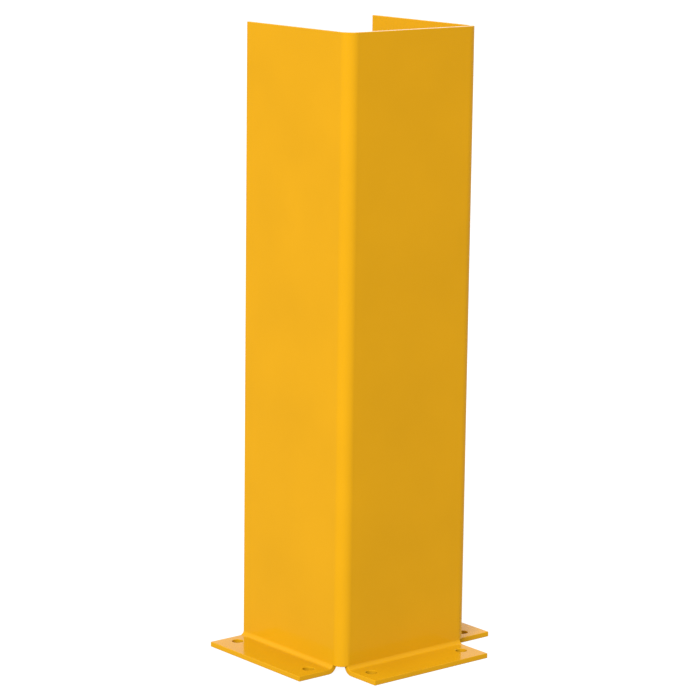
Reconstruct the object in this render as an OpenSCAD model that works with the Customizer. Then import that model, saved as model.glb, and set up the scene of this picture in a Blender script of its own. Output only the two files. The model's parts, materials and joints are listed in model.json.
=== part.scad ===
// Bolt-down steel guard for the foot of a rack upright or a column.
// One plate is folded into a U, and its lower edge is folded outwards into three feet. Every
// foot has two anchor holes. The post that it protects stands inside the U.
// Millimetres. +Z is up. The origin is on the floor, at the centre of the footprint.
// The web faces -Y and the open side of the U faces +Y.

/* [Upright] */
// Height of the guard above the floor
guard_h = 609.6; // [300:0.1:1200]
// Width of the U over the outer faces of its two wings
guard_w = 160; // [100:0.1:320]
// Depth of the U, from the outer face of the web to the rear edges of the wings
wing_depth = 152; // [90:0.1:320]
// Thickness of the coated plate
plate_t = 5; // [3:0.1:7]
// Inside radius of the two upright bends
corner_inner_r = 7; // [3:0.5:15]

/* [Feet] */
// Reach of each foot beyond the outer face of its wall
foot_reach = 40.5; // [36:0.1:80]
// Inside radius of the bend between a foot and its wall
foot_inner_r = 4.5; // [3:0.1:10]
// Distance from the outer face of the web to the front end of a side foot
side_foot_setback = 12; // [8:0.1:30]
// Distance from the outer face of a wing to the end of the front foot
front_foot_setback = 8.5; // [8:0.1:30]
// Height of the notched lower edge of each corner above the floor
corner_clearance = 8; // [0:0.1:20]

/* [Anchor holes] */
// Diameter of each anchor hole
hole_d = 11.1; // [6:0.1:18]
// Distance from the outer edge of a foot to the centres of its holes
hole_edge = 22.5; // [12:0.1:28]
// Distance from the end of a foot to the centre of the nearest hole
hole_end = 14.5; // [10:0.1:40]

/* [Hidden] */

coat = "#E8A81B";
cut_margin = 1;

corner_outer_r = corner_inner_r + plate_t;
bend_top = plate_t + foot_inner_r;
wall_h = guard_h - corner_clearance;
web_face_y = (foot_reach - wing_depth) / 2;
half_w = guard_w / 2;
web_flat_w = guard_w - 2 * corner_outer_r;
wing_flat_d = wing_depth - corner_outer_r;
front_foot_l = guard_w - 2 * front_foot_setback;
side_foot_l = wing_depth - side_foot_setback;
side_foot_y = web_face_y + side_foot_setback + side_foot_l / 2;

$fn = 96;

// A foot is drawn along X with its wall's outer face on y = 0 and the floor on z = 0,
// and it runs outwards in -Y. These three put it in its place.
module on_front() translate([0, web_face_y, 0]) children();
module on_left() translate([-half_w, side_foot_y, 0]) rotate([0, 0, -90]) children();
module on_right() translate([half_w, side_foot_y, 0]) rotate([0, 0, 90]) children();

// The flat, drilled part of a foot, from its bend to its outer edge
module foot_plate(foot_l) {
    difference() {
        translate([-foot_l / 2, -foot_reach, 0])
            cube([foot_l, foot_reach - foot_inner_r, plate_t]);
        for (side = [-1, 1])
            translate([side * (foot_l / 2 - hole_end), hole_edge - foot_reach, -cut_margin])
                cylinder(d = hole_d, h = plate_t + 2 * cut_margin);
    }
}

// The quarter turn from the wall, straight down, to the flat of the foot
module foot_bend(foot_l) {
    translate([-foot_l / 2, -foot_inner_r, bend_top])
        rotate([0, 90, 0])
            rotate_extrude(angle = 90)
                translate([foot_inner_r, 0])
                    square([plate_t, foot_l]);
}

// The space that a foot's bend takes out of the lower edge of the walls
module bend_slot(foot_l) {
    translate([-foot_l / 2, -cut_margin, -cut_margin])
        cube([foot_l, corner_outer_r + cut_margin, bend_top + cut_margin]);
}

module foot_slots() {
    on_front() bend_slot(front_foot_l);
    on_left() bend_slot(side_foot_l);
    on_right() bend_slot(side_foot_l);
}

// A wall or a corner reaches down to the notch height, except where a foot's bend takes over
module web_panel() {
    color(coat) difference() {
        translate([-web_flat_w / 2, web_face_y, corner_clearance])
            cube([web_flat_w, plate_t, wall_h]);
        foot_slots();
    }
}

module wing() {
    difference() {
        translate([half_w - plate_t, web_face_y + corner_outer_r, corner_clearance])
            cube([plate_t, wing_flat_d, wall_h]);
        foot_slots();
    }
}

module left_wing() color(coat) mirror([1, 0, 0]) wing();
module right_wing() color(coat) wing();

// The upright quarter turn from the web to a wing, with its notched lower edge
module corner_bend() {
    difference() {
        translate([half_w - corner_outer_r, web_face_y + corner_outer_r, corner_clearance])
            rotate([0, 0, -90])
                rotate_extrude(angle = 90)
                    translate([corner_inner_r, 0])
                        square([plate_t, wall_h]);
        foot_slots();
    }
}

module left_corner_bend() color(coat) mirror([1, 0, 0]) corner_bend();
module right_corner_bend() color(coat) corner_bend();

module front_foot() color(coat) on_front() foot_plate(front_foot_l);
module front_foot_bend() color(coat) on_front() foot_bend(front_foot_l);
module left_foot() color(coat) on_left() foot_plate(side_foot_l);
module left_foot_bend() color(coat) on_left() foot_bend(side_foot_l);
module right_foot() color(coat) on_right() foot_plate(side_foot_l);
module right_foot_bend() color(coat) on_right() foot_bend(side_foot_l);

web_panel();
left_wing();
right_wing();
left_corner_bend();
right_corner_bend();
front_foot();
front_foot_bend();
left_foot();
left_foot_bend();
right_foot();
right_foot_bend();
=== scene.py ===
"""Looks of a bolt-down steel post guard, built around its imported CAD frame.

The guard is one steel plate. It is folded here as a press brake folds it: the section of a wing
is drawn out, turned round the two upright bends, and its lower edge is turned out into three
feet. The feet are drilled, the cut edges are softened as a powder coat softens them, and the
finished plate is divided along its bend lines into the pieces that the frame names.
"""

import json
import logging
import math
from dataclasses import dataclass
from enum import Enum
from typing import Iterable, Sequence

import bmesh
import bpy
from mathutils import Matrix, Vector


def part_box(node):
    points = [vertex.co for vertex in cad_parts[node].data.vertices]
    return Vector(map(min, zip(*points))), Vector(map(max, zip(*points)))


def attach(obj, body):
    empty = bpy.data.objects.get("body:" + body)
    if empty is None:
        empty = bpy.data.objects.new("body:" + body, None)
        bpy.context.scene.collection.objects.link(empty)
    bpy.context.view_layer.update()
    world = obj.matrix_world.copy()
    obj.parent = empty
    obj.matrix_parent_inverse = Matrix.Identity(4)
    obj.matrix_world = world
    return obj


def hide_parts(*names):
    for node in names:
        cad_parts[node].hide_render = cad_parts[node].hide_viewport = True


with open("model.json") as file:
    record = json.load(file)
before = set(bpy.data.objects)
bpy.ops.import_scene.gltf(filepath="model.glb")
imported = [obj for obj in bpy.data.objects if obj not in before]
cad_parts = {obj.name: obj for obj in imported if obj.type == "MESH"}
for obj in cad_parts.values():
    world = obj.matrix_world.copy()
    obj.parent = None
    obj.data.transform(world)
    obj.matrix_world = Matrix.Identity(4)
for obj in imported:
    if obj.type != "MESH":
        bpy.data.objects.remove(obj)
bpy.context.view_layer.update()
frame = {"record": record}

LOG = logging.getLogger("post_guard")

MM = 0.001
TOLERANCE = 0.01 * MM
ANGLE_TOLERANCE = 1e-4
RIGHT_ANGLE = math.pi / 2
UP = Vector((0.0, 0.0, 1.0))
WHITE = (1.0, 1.0, 1.0, 1.0)
NORMAL_LAYER = "plate_normal"
# Marks where the coat is thin on cut edges, and the hole bores where shade is painted.
COAT_AND_SHADE_LAYER = "thin_coat"


class Side(Enum):
    """The wall that a foot grows out of, with the direction in which the foot runs."""

    FRONT = Vector((0.0, -1.0, 0.0))
    LEFT = Vector((-1.0, 0.0, 0.0))
    RIGHT = Vector((1.0, 0.0, 0.0))

    @property
    def foot(self) -> str:
        """Name of the foot on this side."""
        return f"{self.name.lower()}_foot"

    @property
    def bend(self) -> str:
        """Name of the bend between this side's wall and its foot."""
        return f"{self.name.lower()}_foot_bend"


def mount_of(side: Side) -> dict:
    """Finds the record's mount for the anchor holes of one foot."""
    name = f"{side.foot}_holes"
    return next(mount for mount in frame["record"]["mounts"] if mount["name"] == name)


@dataclass(frozen=True)
class GuardSizes:
    """Sizes of the guard in metres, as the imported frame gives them.

    Attributes:
        plate: Thickness of the coated plate.
        height: Height of the guard above the floor.
        half_width: Distance of the wings' outer faces from the middle plane.
        web_face: Place of the web's outer face along Y.
        rear: Place of the wings' rear edges along Y.
        corner_radius: Radius of the outer face of an upright bend.
        bend_top: Height at which the bends of the feet end and the flat walls begin.
        notch: Height of the notched lower edge of each corner.
        foot_reach: Reach of a foot beyond the outer face of its wall.
        front_foot_half: Half the length of the front foot.
        side_foot_front: Place of the side feet's front ends along Y.
        hole_radius: Radius of an anchor hole.
    """

    plate: float
    height: float
    half_width: float
    web_face: float
    rear: float
    corner_radius: float
    bend_top: float
    notch: float
    foot_reach: float
    front_foot_half: float
    side_foot_front: float
    hole_radius: float

    @classmethod
    def from_frame(cls) -> "GuardSizes":
        """Reads the sizes from the boxes of the CAD nodes.

        Returns:
            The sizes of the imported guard.
        """
        web_low, web_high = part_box("web_panel")
        wing_low, wing_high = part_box("right_wing")
        corner_low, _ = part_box("right_corner_bend")
        foot_low, foot_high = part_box("front_foot")
        side_low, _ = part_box("right_foot")
        return cls(
            plate=web_high.y - web_low.y,
            height=web_high.z,
            half_width=wing_high.x,
            web_face=web_low.y,
            rear=wing_high.y,
            corner_radius=wing_low.y - web_low.y,
            bend_top=web_low.z,
            notch=corner_low.z,
            foot_reach=web_low.y - foot_low.y,
            front_foot_half=foot_high.x,
            side_foot_front=side_low.y,
            hole_radius=mount_of(Side.FRONT)["dims"]["hole_r_mm"] * MM,
        )

    @property
    def corner_x(self) -> float:
        """Distance of the upright bends' axes from the middle plane."""
        return self.half_width - self.corner_radius

    @property
    def corner_y(self) -> float:
        """Place of the upright bends' axes along Y."""
        return self.web_face + self.corner_radius

    @property
    def hollow_radius(self) -> float:
        """Radius of the hollow face of an upright bend."""
        return self.corner_radius - self.plate

    @property
    def foot_bend_radius(self) -> float:
        """Radius of the hollow side of a foot's bend."""
        return self.bend_top - self.plate

    @property
    def shared_angle(self) -> float:
        """Angle of each upright bend whose lower edge turns out with the front foot."""
        return math.asin((self.front_foot_half - self.corner_x) / self.corner_radius)


def near(first: float, second: float) -> bool:
    """Tells whether two lengths are the same within the tolerance."""
    return abs(first - second) < TOLERANCE


def smooth_step(share: float) -> float:
    """Eases a share between 0 and 1, so that it starts and ends level."""
    return share * share * (3.0 - 2.0 * share)


def faces_of(geometry: Iterable) -> list[bmesh.types.BMFace]:
    """Picks the faces out of an operator's result."""
    return [item for item in geometry if isinstance(item, bmesh.types.BMFace)]


def region_of(faces: Sequence[bmesh.types.BMFace]) -> list:
    """Lists faces together with their edges and vertices, as the operators ask for them.

    Args:
        faces: The faces of the region.

    Returns:
        The faces, then their edges, then their vertices, each once.
    """
    edges = dict.fromkeys(edge for face in faces for edge in face.edges)
    verts = dict.fromkeys(vert for face in faces for vert in face.verts)
    return [*faces, *edges, *verts]


def draw_out(
    bm: bmesh.types.BMesh, faces: Sequence[bmesh.types.BMFace], offset: Vector
) -> list[bmesh.types.BMFace]:
    """Extrudes end faces in a straight line.

    Args:
        bm: The mesh being built.
        faces: The end faces.
        offset: How far and in which direction they go.

    Returns:
        The end faces in their new place.
    """
    made = bmesh.ops.extrude_face_region(bm, geom=region_of(faces))["geom"]
    verts = [item for item in made if isinstance(item, bmesh.types.BMVert)]
    bmesh.ops.translate(bm, verts=verts, vec=offset)
    return faces_of(made)


def turn(
    bm: bmesh.types.BMesh,
    faces: Sequence[bmesh.types.BMFace],
    centre: Vector,
    axis: Vector,
    angle: float,
    steps: int,
) -> list[bmesh.types.BMFace]:
    """Sweeps end faces round an axis.

    Args:
        bm: The mesh being built.
        faces: The end faces.
        centre: A point on the axis.
        axis: The axis, right-handed for a positive angle.
        angle: The angle in radians.
        steps: The number of flats that make up the turn.

    Returns:
        The end faces in their new place.
    """
    swept = bmesh.ops.spin(
        bm,
        geom=region_of(faces),
        cent=centre,
        axis=axis,
        dvec=Vector(),
        angle=angle,
        steps=steps,
        use_duplicate=False,
    )
    return faces_of(swept["geom_last"])


@dataclass(frozen=True)
class Upright:
    """The U of the guard: a wing, a bend, the web, a bend and a wing.

    Attributes:
        sizes: Sizes of the guard.
        corner_steps: Flats in the free part of an upright bend.
        shared_steps: Flats in the part that the front foot turns out of.
        easing: Height over which the shared part eases from flat to round.
        notch_ramp: Distance from a foot's end over which the notch reaches its height.
    """

    sizes: GuardSizes
    corner_steps: int = 18
    shared_steps: int = 3
    easing: float = 30 * MM
    notch_ramp: float = 1.4 * MM

    def fold(self, bm: bmesh.types.BMesh) -> None:
        """Makes the U as one solid, from its feet's bends up.

        Args:
            bm: The empty mesh that the U is made in.
        """
        s = self.sizes
        free_angle = RIGHT_ANGLE - s.shared_angle
        wing_length = s.rear - s.corner_y
        end = self.wing_section(bm)
        end = draw_out(bm, end, Vector((0.0, -wing_length, 0.0)))
        left_axis = Vector((-s.corner_x, s.corner_y, 0.0))
        end = turn(bm, end, left_axis, UP, free_angle, self.corner_steps)
        end = turn(bm, end, left_axis, UP, s.shared_angle, self.shared_steps)
        end = draw_out(bm, end, Vector((2 * s.corner_x, 0.0, 0.0)))
        right_axis = Vector((s.corner_x, s.corner_y, 0.0))
        end = turn(bm, end, right_axis, UP, s.shared_angle, self.shared_steps)
        end = turn(bm, end, right_axis, UP, free_angle, self.corner_steps)
        draw_out(bm, end, Vector((0.0, wing_length, 0.0)))
        bmesh.ops.recalc_face_normals(bm, faces=bm.faces[:])
        for vert in bm.verts:
            self.fit_to_front_foot(vert)

    def wing_section(self, bm: bmesh.types.BMesh) -> list[bmesh.types.BMFace]:
        """Draws the rear edge of the left wing, in two lengths that part at the easing height.

        Args:
            bm: The mesh being built.

        Returns:
            The two faces of the section.
        """
        s = self.sizes
        length = s.height - s.bend_top
        centre = Vector((s.plate / 2 - s.half_width, s.rear, s.bend_top + length / 2))
        scale = Matrix.Diagonal((s.plate, length, 1.0, 1.0))
        verts = bmesh.ops.create_grid(
            bm,
            x_segments=1,
            y_segments=2,
            size=0.5,
            matrix=Matrix.Translation(centre) @ Matrix.Rotation(RIGHT_ANGLE, 4, "X") @ scale,
        )["verts"]
        parting = [vert for vert in verts if near(vert.co.z, centre.z)]
        bmesh.ops.translate(bm, verts=parting, vec=UP * (self.easing - length / 2))
        return bm.faces[:]

    def fit_to_front_foot(self, vert: bmesh.types.BMVert) -> None:
        """Fits a point of an upright bend to the end of the front foot.

        The hollow face gets a column of points level with the foot's end, as the outer face has
        one, and the lower edge is flattened where the foot turns out of it.

        Args:
            vert: A point of the U.
        """
        s = self.sizes
        beside = abs(vert.co.x) - s.corner_x
        depth = s.corner_y - vert.co.y
        if beside < TOLERANCE or depth < TOLERANCE:
            return
        angle = math.atan2(beside, depth)
        outside = near(math.hypot(beside, depth), s.corner_radius)
        if not outside:
            shared = math.asin((s.front_foot_half - s.corner_x) / s.hollow_radius)
            if angle < s.shared_angle:
                turned = shared * angle / s.shared_angle
            else:
                share = (RIGHT_ANGLE - angle) / (RIGHT_ANGLE - s.shared_angle)
                turned = RIGHT_ANGLE - share * (RIGHT_ANGLE - shared)
            vert.co.x = math.copysign(
                s.corner_x + s.hollow_radius * math.sin(turned), vert.co.x
            )
            vert.co.y = s.corner_y - s.hollow_radius * math.cos(turned)
        if angle < s.shared_angle + ANGLE_TOLERANCE and near(vert.co.z, s.bend_top):
            vert.co.y = s.web_face if outside else s.web_face + s.plate

    def lower_notch(self, bm: bmesh.types.BMesh, clear: float) -> None:
        """Pulls the free lower edge of each upright bend down to the height of the notch.

        Args:
            bm: The mesh of the whole plate, with softened edges.
            clear: Height above the feet's bends that the softened edge takes up.
        """
        s = self.sizes
        for vert in bm.verts:
            past_front_foot = abs(vert.co.x) - s.front_foot_half
            before_side_foot = s.side_foot_front - vert.co.y
            from_end = min(past_front_foot, before_side_foot)
            above = vert.co.z - s.bend_top
            if from_end > 0.0 and -TOLERANCE < above < clear:
                share = min(from_end / self.notch_ramp, 1.0)
                vert.co.z -= (s.bend_top - s.notch) * smooth_step(share)


@dataclass(frozen=True)
class Foot:
    """One foot: its bend, its flat and its two anchor holes.

    Attributes:
        sizes: Sizes of the guard.
        side: The wall that the foot grows out of.
        holes: Centres of the foot's holes, as (x, y).
        bend_steps: Flats in the foot's bend.
        hole_edge_cuts: Cuts in each side of the square that surrounds a hole.
        hole_land: Half the side of that square.
    """

    sizes: GuardSizes
    side: Side
    holes: tuple[tuple[float, float], ...]
    bend_steps: int = 14
    hole_edge_cuts: int = 9
    hole_land: float = 9 * MM

    @classmethod
    def from_frame(cls, sizes: GuardSizes, side: Side) -> "Foot":
        """Places a foot's holes where the record's mount has them.

        Args:
            sizes: Sizes of the guard.
            side: The wall that the foot grows out of.

        Returns:
            The foot of that side.
        """
        mount = mount_of(side)
        x, y, _ = mount["pos_m"]
        half_x = mount["dims"].get("spacing_x_mm", 0.0) * MM / 2
        half_y = mount["dims"].get("spacing_y_mm", 0.0) * MM / 2
        return cls(sizes, side, ((x - half_x, y - half_y), (x + half_x, y + half_y)))

    @property
    def wall(self) -> float:
        """Distance of the outer face of the foot's wall from the origin."""
        return -self.sizes.web_face if self.side is Side.FRONT else self.sizes.half_width

    def out(self, point: Vector) -> float:
        """Distance of a point beyond the outer face of the foot's wall."""
        return point.dot(self.side.value) - self.wall

    def spans(self, point: Vector) -> bool:
        """Tells whether a point lies between the two ends of the foot."""
        s = self.sizes
        if self.side is Side.FRONT:
            return abs(point.x) < s.front_foot_half + TOLERANCE
        return point.y > s.side_foot_front - TOLERANCE

    def holds(self, point: Vector) -> bool:
        """Tells whether a point of the plate belongs to this foot or its bend."""
        s = self.sizes
        inside_wall = self.out(point) > -s.plate - TOLERANCE
        return inside_wall and self.spans(point) and point.z < s.bend_top + TOLERANCE

    def fold(self, bm: bmesh.types.BMesh) -> None:
        """Turns the lower edge of the wall outwards and draws out the flat of the foot.

        Args:
            bm: The mesh that holds the U.
        """
        s = self.sizes
        edge = [face for face in bm.faces if self.is_wall_edge(face)]
        outward = self.side.value
        centre = outward * (self.wall + s.foot_bend_radius) + UP * s.bend_top
        end = turn(bm, edge, centre, outward.cross(UP), RIGHT_ANGLE, self.bend_steps)
        draw_out(bm, end, outward * (s.foot_reach - s.foot_bend_radius))

    def is_wall_edge(self, face: bmesh.types.BMFace) -> bool:
        """Tells whether a face is part of the lower edge that this foot grows out of."""
        lies_level = all(near(vert.co.z, self.sizes.bend_top) for vert in face.verts)
        return lies_level and all(self.holds(vert.co) for vert in face.verts)

    def drill(self, bm: bmesh.types.BMesh) -> None:
        """Drills the foot's holes, and marks their bores for painted shade.

        Args:
            bm: The mesh of the folded plate.
        """
        for x, y in self.holes:
            self.mark_land(bm, x, y)
            rims = [self.open_land(bm, x, y, level) for level in (0.0, self.sizes.plate)]
            bore = bmesh.ops.bridge_loops(bm, edges=rims[0] + rims[1])["faces"]
            coat = bm.loops.layers.float[COAT_AND_SHADE_LAYER]
            # Painted shade: the bores get the full mark, which darkens them as shade in a hollow
            # would.
            for loop in (loop for face in bore for loop in face.loops):
                loop[coat] = 1.0
        bmesh.ops.recalc_face_normals(bm, faces=bm.faces[:])

    def mark_land(self, bm: bmesh.types.BMesh, x: float, y: float) -> None:
        """Cuts a square round a hole's centre into the flat of the foot.

        Args:
            bm: The mesh of the folded plate.
            x: The hole's centre along X.
            y: The hole's centre along Y.
        """
        for normal in (Vector((1.0, 0.0, 0.0)), Vector((0.0, 1.0, 0.0))):
            for offset in (-self.hole_land, self.hole_land):
                flat = [face for face in bm.faces if self.is_flat(face)]
                bmesh.ops.bisect_plane(
                    bm,
                    geom=region_of(flat),
                    dist=TOLERANCE,
                    plane_co=Vector((x, y, 0.0)) + normal * offset,
                    plane_no=normal,
                )

    def is_flat(self, face: bmesh.types.BMFace) -> bool:
        """Tells whether a face lies on the flat of the foot, beyond its bend."""
        centre = face.calc_center_median()
        return self.holds(centre) and self.out(centre) > self.sizes.foot_bend_radius

    def open_land(
        self, bm: bmesh.types.BMesh, x: float, y: float, level: float
    ) -> list[bmesh.types.BMEdge]:
        """Opens a square land at one face of the foot down to a round rim.

        Args:
            bm: The mesh of the folded plate.
            x: The hole's centre along X.
            y: The hole's centre along Y.
            level: Height of the face.

        Returns:
            The edges of the rim.
        """
        centre = Vector((x, y, level))
        land = min(bm.faces, key=lambda face: (face.calc_center_median() - centre).length)
        lift = land.normal.copy() * self.hole_land
        border = list(land.edges)
        bmesh.ops.delete(bm, geom=[land], context="FACES_ONLY")
        split = bmesh.ops.subdivide_edges(bm, edges=border, cuts=self.hole_edge_cuts)
        border += [item for item in split["geom_split"] if isinstance(item, bmesh.types.BMEdge)]
        border = [edge for edge in dict.fromkeys(border) if edge.is_boundary]
        circle = bmesh.ops.create_circle(
            bm,
            cap_ends=False,
            segments=len(border),
            radius=self.sizes.hole_radius,
            matrix=Matrix.Translation(centre + lift),
        )["verts"]
        rim = list(dict.fromkeys(edge for vert in circle for edge in vert.link_edges))
        bmesh.ops.bridge_loops(bm, edges=border + rim)
        bmesh.ops.translate(bm, verts=circle, vec=-lift)
        return rim


@dataclass(frozen=True)
class GuardPlate:
    """The whole folded plate, and its division into the frame's pieces.

    Attributes:
        sizes: Sizes of the guard.
        upright: The U.
        feet: The three feet.
        edge_radius: Radius that the powder coat gives the cut edges.
        edge_steps: Flats in a softened edge.
        edge_height: Height that a softened edge takes up, as a multiple of its radius.
        edge_thinning: How thin the coat gets on a cut edge, against 1 for the painted shade inside
            a hole.
    """

    sizes: GuardSizes
    upright: Upright
    feet: tuple[Foot, ...]
    edge_radius: float = 0.6 * MM
    edge_steps: int = 3
    edge_height: float = 1.2
    edge_thinning: float = 0.35

    @classmethod
    def from_frame(cls) -> "GuardPlate":
        """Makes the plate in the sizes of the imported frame."""
        sizes = GuardSizes.from_frame()
        feet = tuple(Foot.from_frame(sizes, side) for side in Side)
        return cls(sizes, Upright(sizes), feet)

    def build(self, finish: bpy.types.Material) -> dict[str, bpy.types.Object]:
        """Builds the plate and divides it.

        Args:
            finish: Material of every piece.

        Returns:
            The finished pieces, by the name of the node that each stands for.
        """
        bm = bmesh.new()
        bm.loops.layers.float.new(COAT_AND_SHADE_LAYER)
        self.upright.fold(bm)
        for foot in self.feet:
            foot.fold(bm)
        for foot in self.feet:
            foot.drill(bm)
        self.soften(bm)
        self.upright.lower_notch(bm, self.edge_radius * self.edge_height)
        self.shade(bm)
        names = sorted({self.piece_of(face) for face in bm.faces})
        pieces = {name: self.cut_out(bm, name, finish) for name in names}
        bm.free()
        return pieces

    def soften(self, bm: bmesh.types.BMesh) -> None:
        """Rounds every cut edge of the plate, and marks the rounding for the coat.

        Args:
            bm: The folded and drilled plate.
        """
        square = math.radians(60)
        cut_edges = [
            edge
            for edge in bm.edges
            if edge.is_manifold and edge.is_convex and edge.calc_face_angle() > square
        ]
        rounded = bmesh.ops.bevel(
            bm,
            geom=cut_edges,
            offset=self.edge_radius,
            offset_type="OFFSET",
            segments=self.edge_steps,
            profile=0.5,
            affect="EDGES",
            material=-1,
            clamp_overlap=False,
            miter_inner="SHARP",
        )["faces"]
        coat = bm.loops.layers.float[COAT_AND_SHADE_LAYER]
        strips = set(rounded)
        for face in rounded:
            for loop in face.loops:
                inside = strips.issuperset(loop.vert.link_faces)
                loop[coat] = self.edge_thinning if inside else 0.0

    def shade(self, bm: bmesh.types.BMesh) -> None:
        """Gives the plate smooth normals in which flats stay flat, and keeps them in a layer.

        The normals are worked out on the undivided plate, so that its pieces meet with the
        same normals and no seam shows.

        Args:
            bm: The plate, which is replaced by its shaded copy.
        """
        crease = math.radians(50)
        for face in bm.faces:
            face.smooth = True
        for edge in bm.edges:
            edge.smooth = not edge.is_manifold or edge.calc_face_angle() < crease
        mesh = bpy.data.meshes.new("whole_plate")
        bm.to_mesh(mesh)
        whole = bpy.data.objects.new("whole_plate", mesh)
        bpy.context.scene.collection.objects.link(whole)
        weighting = whole.modifiers.new("weighting", "WEIGHTED_NORMAL")
        weighting.keep_sharp = True
        shaded = bpy.data.meshes.new_from_object(
            whole.evaluated_get(bpy.context.evaluated_depsgraph_get())
        )
        layer = shaded.attributes.new(NORMAL_LAYER, "FLOAT_VECTOR", "CORNER")
        for item, normal in zip(layer.data, shaded.corner_normals):
            item.vector = normal.vector
        bm.clear()
        bm.from_mesh(shaded)
        bpy.data.objects.remove(whole)
        bpy.data.meshes.remove(mesh)
        bpy.data.meshes.remove(shaded)

    def piece_of(self, face: bmesh.types.BMFace) -> str:
        """Names the piece that a face of the plate belongs to.

        Args:
            face: A face of the finished plate.

        Returns:
            The name of a CAD node.
        """
        s = self.sizes
        centre = face.calc_center_median()
        hand = "left" if centre.x < 0 else "right"
        in_notch = abs(centre.x) > s.front_foot_half + TOLERANCE
        if in_notch and centre.y < s.side_foot_front - TOLERANCE:
            return f"{hand}_corner_bend"
        if centre.z < s.bend_top:
            foot = next((foot for foot in self.feet if foot.holds(centre)), None)
            if foot is None:
                return f"{hand}_corner_bend"
            bent = foot.out(centre) < s.foot_bend_radius
            return foot.side.bend if bent else foot.side.foot
        if abs(centre.x) < s.corner_x:
            return "web_panel"
        past_bend = centre.y > s.corner_y + self.edge_radius
        return f"{hand}_wing" if past_bend else f"{hand}_corner_bend"

    def cut_out(
        self, bm: bmesh.types.BMesh, name: str, finish: bpy.types.Material
    ) -> bpy.types.Object:
        """Cuts one piece out of the plate and closes it at its bend lines.

        Args:
            bm: The shaded plate, which stays whole.
            name: The piece's name.
            finish: Its material.

        Returns:
            The piece as an object.
        """
        piece = bm.copy()
        others = [face for face in piece.faces if self.piece_of(face) != name]
        bmesh.ops.delete(piece, geom=others, context="FACES")
        self.close(piece)
        mesh = bpy.data.meshes.new(name)
        piece.to_mesh(mesh)
        piece.free()
        layer = mesh.attributes[NORMAL_LAYER]
        normals = [tuple(item.vector) for item in layer.data]
        mesh.attributes.remove(layer)
        mesh.normals_split_custom_set(normals)
        mesh.materials.append(finish)
        made = bpy.data.objects.new(f"guard_{name}", mesh)
        bpy.context.scene.collection.objects.link(made)
        return made

    def close(self, piece: bmesh.types.BMesh) -> None:
        """Closes a cut-out piece across the thickness of the plate.

        Where two bend lines meet, the opening turns a corner. An edge through the plate parts it
        there, so that no closing face goes round the corner.

        Args:
            piece: The open piece.
        """
        reach = 5 * TOLERANCE
        opening = [edge for edge in piece.edges if edge.is_boundary]
        for edge in opening:
            edge.smooth = False
        rim = dict.fromkeys(vert for edge in opening for vert in edge.verts)
        for ends in self.through_edges():
            pair = [vert for vert in rim if min((vert.co - end).length for end in ends) < reach]
            if len(pair) == len(ends):
                opening += bmesh.ops.contextual_create(piece, geom=pair)["edges"]
        bmesh.ops.edgenet_fill(piece, edges=opening, sides=0)
        bmesh.ops.recalc_face_normals(piece, faces=piece.faces[:])

    def through_edges(self) -> list[tuple[Vector, Vector]]:
        """Places the edges through the plate at which a closing face turns a corner.

        Returns:
            The outer and the inner end of each edge, first on the left and then on the right.
        """
        s = self.sizes
        soft = self.edge_radius
        eased = s.bend_top + self.upright.easing
        through_web = Vector((0.0, s.plate, 0.0))
        through_wing = Vector((-s.plate, 0.0, 0.0))
        right = (
            (Vector((s.corner_x, s.web_face, s.bend_top)), through_web),
            (Vector((s.half_width, s.corner_y + soft, s.bend_top + soft)), through_wing),
            (Vector((s.half_width, s.corner_y, eased)), through_wing),
        )
        return [
            (outer * mirror, (outer + step) * mirror)
            for mirror in (Vector((-1.0, 1.0, 1.0)), Vector((1.0, 1.0, 1.0)))
            for outer, step in right
        ]


@dataclass(frozen=True)
class Grain:
    """One scale of unevenness in the coat.

    Attributes:
        size: Width of one blotch in metres.
        detail: Octaves of finer noise.
    """

    size: float
    detail: float


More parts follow.
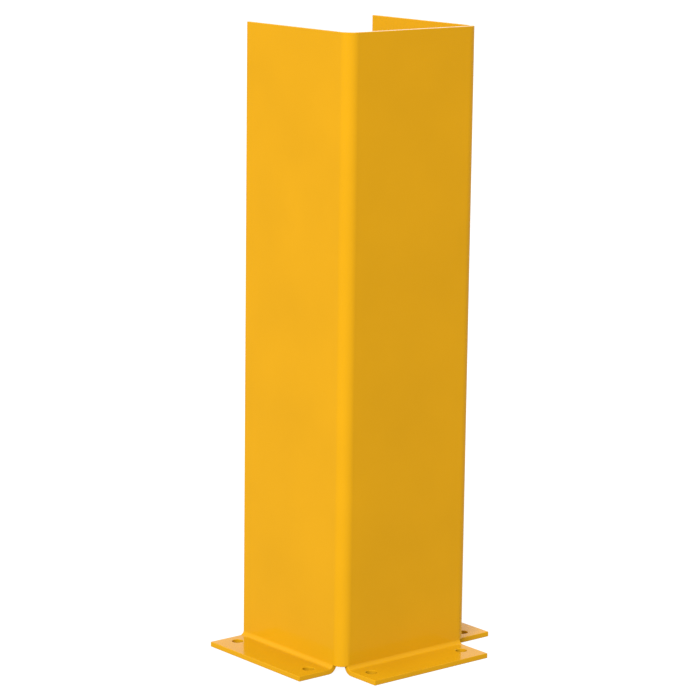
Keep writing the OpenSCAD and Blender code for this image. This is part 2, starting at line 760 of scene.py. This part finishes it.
@dataclass(frozen=True)
class PowderCoat:
    """Gloss traffic-yellow powder coat over steel plate.

    Attributes:
        name: Name of the material.
        colour: Linear base colour.
        shade_spread: How far the colour drifts across the plate, as a share of itself.
        shade_ends: Values of the noise at which the darkest and the lightest colour stand.
        shade_grain: Scale of the colour's drift.
        roughness: Mean roughness of the gloss.
        roughness_spread: How far the roughness drifts.
        gloss_grain: Scale of the roughness's drift.
        ior: Index of refraction of the clear surface.
        peel_grain: Scale of the orange peel's dimples.
        peel_strength: Strength of the orange peel.
        peel_height: Height of the orange peel, in metres.
        thin_grain: Scale of the patches where the coat is thin and where the painted shade in the
            holes is deepest.
        thin_shade: Share of the colour that is left where the coat is thinnest and where shade is
            painted deepest in a hole.
        thin_roughness: Roughness that a thin coat adds.
    """

    name: str = "traffic_yellow_powder_coat"
    colour: tuple[float, float, float] = (0.44, 0.216, 0.004)
    shade_spread: float = 0.03
    shade_ends: tuple[float, float] = (0.3, 0.7)
    shade_grain: Grain = Grain(90 * MM, 3.0)
    roughness: float = 0.12
    roughness_spread: float = 0.05
    gloss_grain: Grain = Grain(35 * MM, 4.0)
    ior: float = 1.15
    peel_grain: Grain = Grain(2.2 * MM, 2.0)
    peel_strength: float = 0.04
    peel_height: float = 0.1 * MM
    thin_grain: Grain = Grain(6 * MM, 3.0)
    thin_shade: float = 0.7
    thin_roughness: float = 0.15

    def make(self) -> bpy.types.Material:
        """Builds the material.

        Returns:
            The node-based material.
        """
        material = bpy.data.materials.new(self.name)
        material.use_nodes = True
        tree = material.node_tree
        shader = tree.nodes["Principled BSDF"]
        shader.inputs["IOR"].default_value = self.ior
        place = tree.nodes.new("ShaderNodeTexCoord").outputs["Object"]
        thin = self.thin_edges(tree, place)
        self.drift_colour(tree, shader, place, thin)
        self.drift_gloss(tree, shader, place, thin)
        self.add_peel(tree, shader, place)
        return material

    def noise(
        self, tree: bpy.types.NodeTree, place: bpy.types.NodeSocket, grain: Grain
    ) -> bpy.types.NodeSocket:
        """Adds a noise pattern.

        Args:
            tree: The material's nodes.
            place: The coordinates that it reads.
            grain: Its scale.

        Returns:
            The pattern's value, from 0 to 1.
        """
        node = tree.nodes.new("ShaderNodeTexNoise")
        node.inputs["Scale"].default_value = 1.0 / grain.size
        node.inputs["Detail"].default_value = grain.detail
        tree.links.new(place, node.inputs["Vector"])
        return node.outputs["Fac"]

    def thin_edges(
        self, tree: bpy.types.NodeTree, place: bpy.types.NodeSocket
    ) -> bpy.types.NodeSocket:
        """Finds where the coat is thin, on the plate's cut edges, and where shade is painted, in
        its holes.

        Args:
            tree: The material's nodes.
            place: The coordinates of the patches.

        Returns:
            How thin the coat is, with the painted shade in the holes, from 0 on the flats to 1 on
            the darkest patch in a hole.
        """
        edge = tree.nodes.new("ShaderNodeAttribute")
        edge.attribute_name = COAT_AND_SHADE_LAYER
        thin = tree.nodes.new("ShaderNodeMath")
        thin.operation = "MULTIPLY"
        tree.links.new(edge.outputs["Fac"], thin.inputs[0])
        tree.links.new(self.noise(tree, place, self.thin_grain), thin.inputs[1])
        return thin.outputs["Value"]

    def drift_colour(
        self,
        tree: bpy.types.NodeTree,
        shader: bpy.types.Node,
        place: bpy.types.NodeSocket,
        thin: bpy.types.NodeSocket,
    ) -> None:
        """Lets the colour drift as a coat of uneven thickness does, darkens the edges where the
        coat is thin, and paints shade into the holes.

        Args:
            tree: The material's nodes.
            shader: The surface's shader.
            place: The coordinates of the drift.
            thin: How thin the coat is, with the painted shade in the holes.
        """
        ramp = tree.nodes.new("ShaderNodeValToRGB")
        shades = (1.0 - self.shade_spread, 1.0 + self.shade_spread)
        for end, position, shade in zip(ramp.color_ramp.elements, self.shade_ends, shades):
            end.position = position
            end.color = (*(channel * shade for channel in self.colour), 1.0)
        tree.links.new(self.noise(tree, place, self.shade_grain), ramp.inputs["Fac"])
        # Darkens the colour where the coat is thin, and paints shade into the hole bores.
        cover = tree.nodes.new("ShaderNodeMapRange")
        cover.inputs["To Min"].default_value = 1.0
        cover.inputs["To Max"].default_value = self.thin_shade
        tree.links.new(thin, cover.inputs["Value"])
        covered = tree.nodes.new("ShaderNodeVectorMath")
        covered.operation = "SCALE"
        tree.links.new(ramp.outputs["Color"], covered.inputs["Vector"])
        tree.links.new(cover.outputs["Result"], covered.inputs["Scale"])
        tree.links.new(covered.outputs["Vector"], shader.inputs["Base Color"])

    def drift_gloss(
        self,
        tree: bpy.types.NodeTree,
        shader: bpy.types.Node,
        place: bpy.types.NodeSocket,
        thin: bpy.types.NodeSocket,
    ) -> None:
        """Lets the gloss drift slightly, and dulls the edges.

        Args:
            tree: The material's nodes.
            shader: The surface's shader.
            place: The coordinates of the drift.
            thin: How thin the coat is, with the painted shade in the holes.
        """
        spread = tree.nodes.new("ShaderNodeMapRange")
        spread.inputs["To Min"].default_value = self.roughness - self.roughness_spread
        spread.inputs["To Max"].default_value = self.roughness + self.roughness_spread
        tree.links.new(self.noise(tree, place, self.gloss_grain), spread.inputs["Value"])
        dulled = tree.nodes.new("ShaderNodeMath")
        dulled.operation = "MULTIPLY_ADD"
        dulled.inputs[1].default_value = self.thin_roughness
        tree.links.new(thin, dulled.inputs[0])
        tree.links.new(spread.outputs["Result"], dulled.inputs[2])
        tree.links.new(dulled.outputs["Value"], shader.inputs["Roughness"])

    def add_peel(
        self, tree: bpy.types.NodeTree, shader: bpy.types.Node, place: bpy.types.NodeSocket
    ) -> None:
        """Adds the fine orange peel of a baked powder coat.

        Args:
            tree: The material's nodes.
            shader: The surface's shader.
            place: The coordinates of the dimples.
        """
        bump = tree.nodes.new("ShaderNodeBump")
        bump.inputs["Strength"].default_value = self.peel_strength
        bump.inputs["Distance"].default_value = self.peel_height
        tree.links.new(self.noise(tree, place, self.peel_grain), bump.inputs["Height"])
        tree.links.new(bump.outputs["Normal"], shader.inputs["Normal"])


@dataclass(frozen=True)
class Softbox:
    """One rectangular studio light, which no gloss mirrors.

    Attributes:
        name: Name of the light.
        place: Its centre in metres.
        size: Its width and height in metres.
        radiance: Brightness of its face.
        target: The point that it faces.
    """

    name: str
    place: tuple[float, float, float]
    size: tuple[float, float]
    radiance: float
    target: tuple[float, float, float] = (0.0, 0.0, 0.3)

    def make(self) -> None:
        """Builds the light and aims it."""
        data = bpy.data.lights.new(self.name, "AREA")
        data.shape = "RECTANGLE"
        data.size, data.size_y = self.size
        data.energy = self.radiance * math.pi * self.size[0] * self.size[1]
        light = bpy.data.objects.new(self.name, data)
        light.location = self.place
        aim = Vector(self.target) - light.location
        light.rotation_euler = aim.to_track_quat("-Z", "Y").to_euler()
        light.visible_camera = False
        light.visible_glossy = False
        bpy.context.scene.collection.objects.link(light)


@dataclass(frozen=True)
class Studio:
    """Pale floor, soft light and camera.

    Attributes:
        floor_side: Length of the side of the floor, which is a light table.
        floor_colour: Linear colour of the floor.
        floor_roughness: Roughness of the floor.
        floor_glow: Brightness of the light table where it is seen directly.
        floor_bounce: Brightness that the table throws on the guard.
        front_wall: Brightness of the studio on the camera's side.
        back_wall: Brightness of the studio behind the guard.
        ceiling: Brightness that the ceiling adds overhead.
        camera_place: The camera's place in metres.
        camera_turn: Compass angle of the view from +Y towards +X, in degrees.
        camera_dip: How far the view looks down, in degrees.
        camera_roll: Roll of the camera, in degrees.
        lens: Focal length in millimetres.
        sensor: Width of the camera's sensor in millimetres.
        sight: How far the camera sees, in metres.
        softboxes: The lights.
    """

    floor_side: float = 60.0
    floor_colour: tuple[float, float, float] = (0.12, 0.12, 0.12)
    floor_roughness: float = 0.9
    floor_glow: float = 0.92
    floor_bounce: float = 0.42
    front_wall: float = 1.15
    back_wall: float = 1.5
    ceiling: float = 0.05
    camera_place: tuple[float, float, float] = (-1.69805, -2.01502, 0.82199)
    camera_turn: float = 39.66
    camera_dip: float = 11.249
    camera_roll: float = 0.755
    lens: float = 143.7
    sensor: float = 36.0
    sight: float = 200.0
    softboxes: tuple[Softbox, ...] = (
        Softbox("key_softbox", (-10.44, -5.91, 7.21), (6.3, 6.3), 23.9),
        Softbox("side_softbox", (12.5, 2.2, 1.0), (4.0, 4.0), 36.0),
        Softbox("rear_softbox", (1.5, 13.0, 0.6), (4.0, 4.0), 18.0),
    )

    def build(self) -> None:
        """Builds the whole studio."""
        self.place_camera()
        self.lay_floor()
        self.set_surroundings()
        for softbox in self.softboxes:
            softbox.make()
        bpy.context.scene.view_settings.view_transform = "Standard"

    def place_camera(self) -> None:
        """Places the camera and makes it the scene's camera."""
        yaw, pitch, roll = map(math.radians, (self.camera_turn, self.camera_dip, self.camera_roll))
        forward = Vector((
            math.sin(yaw) * math.cos(pitch), math.cos(yaw) * math.cos(pitch), -math.sin(pitch)
        ))
        right = Vector((math.cos(yaw), -math.sin(yaw), 0.0))
        upward = right.cross(forward)
        level = Matrix((right, upward, -forward)).transposed().to_4x4()
        data = bpy.data.cameras.new("camera")
        data.lens = self.lens
        data.sensor_width = self.sensor
        data.clip_end = self.sight
        camera = bpy.data.objects.new("camera", data)
        camera.matrix_world = (
            Matrix.Translation(self.camera_place) @ level @ Matrix.Rotation(roll, 4, "Z")
        )
        bpy.context.scene.collection.objects.link(camera)
        bpy.context.scene.camera = camera

    def lay_floor(self) -> None:
        """Lays the plain pale floor, which glows more brightly than it lights the guard."""
        bm = bmesh.new()
        bmesh.ops.create_grid(bm, x_segments=1, y_segments=1, size=self.floor_side / 2)
        mesh = bpy.data.meshes.new("studio_floor")
        bm.to_mesh(mesh)
        bm.free()
        paint = bpy.data.materials.new("floor_paint")
        paint.use_nodes = True
        tree = paint.node_tree
        shader = tree.nodes["Principled BSDF"]
        shader.inputs["Base Color"].default_value = (*self.floor_colour, 1.0)
        shader.inputs["Roughness"].default_value = self.floor_roughness
        shader.inputs["Specular IOR Level"].default_value = 0.0
        shader.inputs["Emission Color"].default_value = WHITE
        glow = tree.nodes.new("ShaderNodeMapRange")
        glow.inputs["To Min"].default_value = self.floor_bounce
        glow.inputs["To Max"].default_value = self.floor_glow
        directly = tree.nodes.new("ShaderNodeLightPath").outputs["Is Camera Ray"]
        tree.links.new(directly, glow.inputs["Value"])
        tree.links.new(glow.outputs["Result"], shader.inputs["Emission Strength"])
        mesh.materials.append(paint)
        floor = bpy.data.objects.new("studio_floor", mesh)
        bpy.context.scene.collection.objects.link(floor)

    def set_surroundings(self) -> None:
        """Lights the scene from the studio's walls and ceiling, most from behind the guard.

        Seen directly, the walls are as white as the floor on every side.
        """
        world = bpy.data.worlds.new("studio")
        world.use_nodes = True
        tree = world.node_tree
        bearing = math.radians(self.camera_turn)
        behind_guard = Vector((math.sin(bearing), math.cos(bearing), 0.0))
        direction = tree.nodes.new("ShaderNodeTexCoord").outputs["Generated"]
        walls = self.fade(tree, direction, behind_guard, self.front_wall, self.back_wall)
        overhead = self.fade(tree, direction, UP, 0.0, self.ceiling)
        total = tree.nodes.new("ShaderNodeMath")
        total.operation = "ADD"
        tree.links.new(walls, total.inputs[0])
        tree.links.new(overhead, total.inputs[1])
        seen = tree.nodes.new("ShaderNodeMath")
        seen.operation = "MAXIMUM"
        tree.links.new(total.outputs["Value"], seen.inputs[0])
        directly = tree.nodes.new("ShaderNodeLightPath").outputs["Is Camera Ray"]
        tree.links.new(directly, seen.inputs[1])
        background = tree.nodes["Background"]
        background.inputs["Color"].default_value = WHITE
        tree.links.new(seen.outputs["Value"], background.inputs["Strength"])
        bpy.context.scene.world = world

    def fade(
        self,
        tree: bpy.types.NodeTree,
        direction: bpy.types.NodeSocket,
        towards: Vector,
        away: float,
        full: float,
    ) -> bpy.types.NodeSocket:
        """Adds a brightness that grows towards one direction.

        Args:
            tree: The world's nodes.
            direction: The direction that is looked in.
            towards: The direction of full brightness.
            away: The brightness at right angles to it and beyond.
            full: The full brightness.

        Returns:
            The brightness.
        """
        match = tree.nodes.new("ShaderNodeVectorMath")
        match.operation = "DOT_PRODUCT"
        match.inputs[1].default_value = towards
        tree.links.new(direction, match.inputs[0])
        spread = tree.nodes.new("ShaderNodeMapRange")
        spread.inputs["To Min"].default_value = away
        spread.inputs["To Max"].default_value = full
        tree.links.new(match.outputs["Value"], spread.inputs["Value"])
        return spread.outputs["Result"]


def main() -> None:
    """Builds the studio and the guard, and logs the faces of each piece."""
    logging.basicConfig(level=logging.INFO, format="%(name)s: %(message)s")
    Studio().build()
    pieces = GuardPlate.from_frame().build(PowderCoat().make())
    for name, piece in pieces.items():
        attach(piece, "root")
        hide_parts(name)
        LOG.info("%s: %d faces", piece.name, len(piece.data.polygons))


if __name__ == "__main__":
    main()
